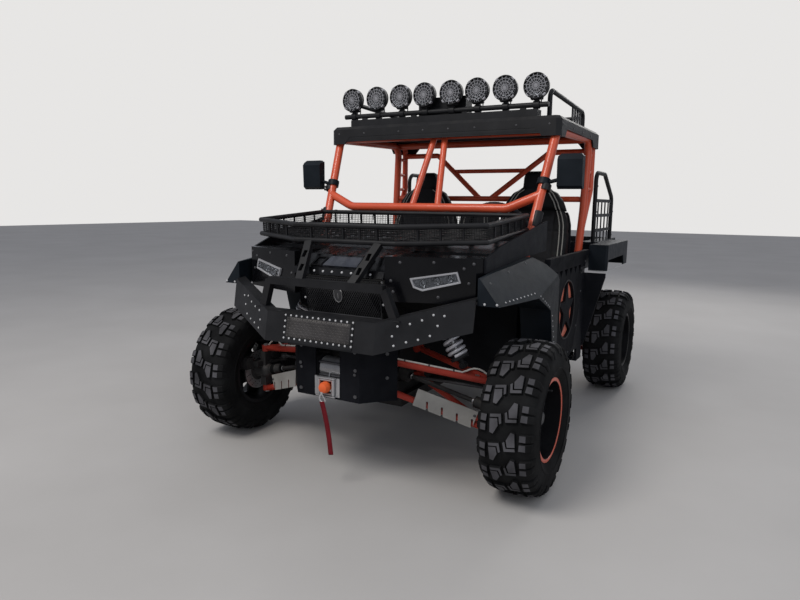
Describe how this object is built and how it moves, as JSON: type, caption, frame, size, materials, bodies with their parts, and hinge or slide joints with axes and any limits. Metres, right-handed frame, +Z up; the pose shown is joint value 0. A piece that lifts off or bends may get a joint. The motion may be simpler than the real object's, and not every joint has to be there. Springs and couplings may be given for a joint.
{
  "type": "side-by-side utility vehicle",
  "caption": "Four-wheeled utility vehicle with roll cage, roof, bench seats, front basket, roof lamps, winch bumper, star-cut doors and a tilting cargo bed.",
  "frame": {"origin": "on the ground, in the middle of the bounding box's length and width", "axes": "+Z up, the vehicle faces -Y and its left-hand side is +X"},
  "size_m": [1.893, 2.9519, 1.958],
  "materials": {
    "cage_orange": "semi-gloss",
    "frame_black": "satin",
    "panel_black": "gloss",
    "plastic_black": "matte",
    "tyre": "matte",
    "rim_black": "satin",
    "steel": "brushed",
    "cast": "rough",
    "guard_grey": "satin",
    "spring_silver": "satin",
    "seat_black": "matte",
    "strap_red": "woven",
    "lens_clear": "clear",
    "lamp_cover": "satin",
    "lens_red": "gloss"
  },
  "bodies": {
    "chassis": {"arm_guards": "guard_grey", "cabin_tub": "plastic_black", "chassis_frame": "frame_black", "dashboard": "plastic_black", "drive_line": "cast", "engine_block": "cast", "fairlead": "steel", "front_bumper": "frame_black", "front_fenders": "plastic_black", "front_rack": "frame_black", "headlamps": "lens_clear", "hitch_receiver": "frame_black", "hook_strap": "strap_red", "lamp_panels": "panel_black", "mirrors": "plastic_black", "nose_panel": "panel_black", "rear_carriers": "cast", "roll_cage": "cage_orange", "roof_panel": "plastic_black", "roof_rack": "frame_black", "seats": "seat_black", "side_panels": "plastic_black", "shocks": "spring_silver", "skid_plate": "frame_black", "spot_lamps": "lamp_cover", "winch": "frame_black", "wishbones": "cage_orange"},
    "knuckle_left": {"knuckle_left": "cast"},
    "knuckle_right": {"knuckle_right": "cast"},
    "steering_wheel": {"steering_wheel": "plastic_black"},
    "tie_rods": {"tie_rods": "steel"},
    "wheel_fl": {"rim_fl": "rim_black", "tyre_fl": "tyre"},
    "wheel_fr": {"rim_fr": "rim_black", "tyre_fr": "tyre"},
    "wheel_rl": {"rim_rl": "rim_black", "tyre_rl": "tyre"},
    "wheel_rr": {"rim_rr": "rim_black", "tyre_rr": "tyre"},
    "door_left": {"door_left": "frame_black"},
    "door_right": {"door_right": "frame_black"},
    "cargo_bed": {"cargo_bed": "plastic_black", "bed_racks": "frame_black", "tail_lamps": "lens_red"},
    "tailgate": {"tailgate": "plastic_black"}
  },
  "joints": [
    {"name": "steer_left", "type": "hinge", "parent": "chassis", "child": "knuckle_left", "pos_m": [0.68, -1.02, 0.343], "axis": [0, 0, 1], "range_deg": [-28, 28]},
    {"name": "steer_right", "type": "hinge", "parent": "chassis", "child": "knuckle_right", "pos_m": [-0.68, -1.02, 0.343], "axis": [0, 0, 1], "range_deg": [-28, 28]},
    {"name": "steering_column", "type": "hinge", "parent": "chassis", "child": "steering_wheel", "pos_m": [0.36, -0.205, 1.128], "axis": [0, 0.8387, 0.5446], "range_deg": [-260, 260]},
    {"name": "rack_slide", "type": "slide", "parent": "chassis", "child": "tie_rods", "axis": [1, 0, 0], "range_m": [-0.05, 0.05]},
    {"name": "spin_fl", "type": "hinge", "parent": "knuckle_left", "child": "wheel_fl", "pos_m": [0.822, -1.02, 0.343], "axis": [1, 0, 0], "continuous": true},
    {"name": "spin_fr", "type": "hinge", "parent": "knuckle_right", "child": "wheel_fr", "pos_m": [-0.822, -1.02, 0.343], "axis": [1, 0, 0], "continuous": true},
    {"name": "spin_rl", "type": "hinge", "parent": "chassis", "child": "wheel_rl", "pos_m": [0.806, 0.905, 0.343], "axis": [1, 0, 0], "continuous": true},
    {"name": "spin_rr", "type": "hinge", "parent": "chassis", "child": "wheel_rr", "pos_m": [-0.806, 0.905, 0.343], "axis": [1, 0, 0], "continuous": true},
    {"name": "door_left_hinge", "type": "hinge", "parent": "chassis", "child": "door_left", "pos_m": [0.741, -0.53, 0.71], "axis": [0, 0, -1], "range_deg": [0, 70]},
    {"name": "door_right_hinge", "type": "hinge", "parent": "chassis", "child": "door_right", "pos_m": [-0.741, -0.53, 0.71], "axis": [0, 0, 1], "range_deg": [0, 70]},
    {"name": "bed_tilt", "type": "hinge", "parent": "chassis", "child": "cargo_bed", "pos_m": [0, 1.38, 0.818], "axis": [-1, 0, 0], "range_deg": [0, 40]},
    {"name": "tailgate_hinge", "type": "hinge", "parent": "cargo_bed", "child": "tailgate", "pos_m": [0, 1.444, 0.854], "axis": [-1, 0, 0], "range_deg": [0, 90]}
  ],
  "couplings": [
    {"joint": "steer_right", "follows": "steer_left", "ratio": 1},
    {"joint": "steering_column", "follows": "steer_left", "ratio": 9},
    {"joint": "rack_slide", "follows": "steer_left", "m_per_rad": -0.096}
  ]
}
